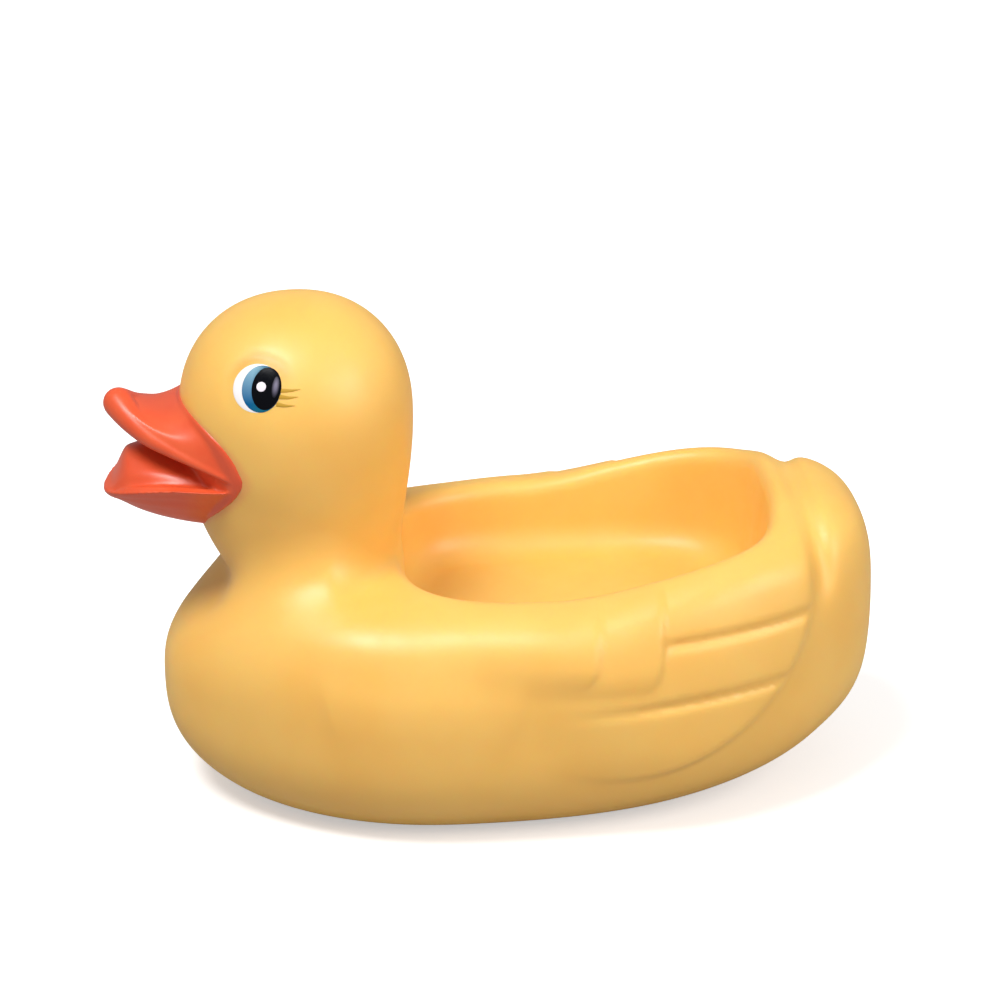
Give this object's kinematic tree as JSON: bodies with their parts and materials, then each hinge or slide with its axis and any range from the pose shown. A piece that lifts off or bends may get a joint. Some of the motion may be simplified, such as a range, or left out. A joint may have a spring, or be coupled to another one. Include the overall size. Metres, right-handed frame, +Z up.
{
  "type": "rubber duck",
  "caption": "Hollow soft vinyl bath duck with an open bill, painted eyes, moulded wings, a tray in its back for small ducks, and a squeaker in its base.",
  "frame": {"origin": "under the middle of the duck's length, on the surface it stands on", "axes": "-X towards the bill, +X towards the tail, +Y towards the duck's right, +Z up"},
  "size_m": [0.1676, 0.0974, 0.1112],
  "materials": {
    "soft_vinyl": "soft yellow vinyl with orange bill paint and painted eyes",
    "white_plastic": "moulded polypropylene",
    "reed_film": "thin plastic film"
  },
  "bodies": {
    "root": {"duck_body": "soft_vinyl", "squeaker_cup": "white_plastic", "squeaker_cover": "white_plastic", "reed_block": "white_plastic", "reed": "reed_film"}
  },
  "joints": []
}
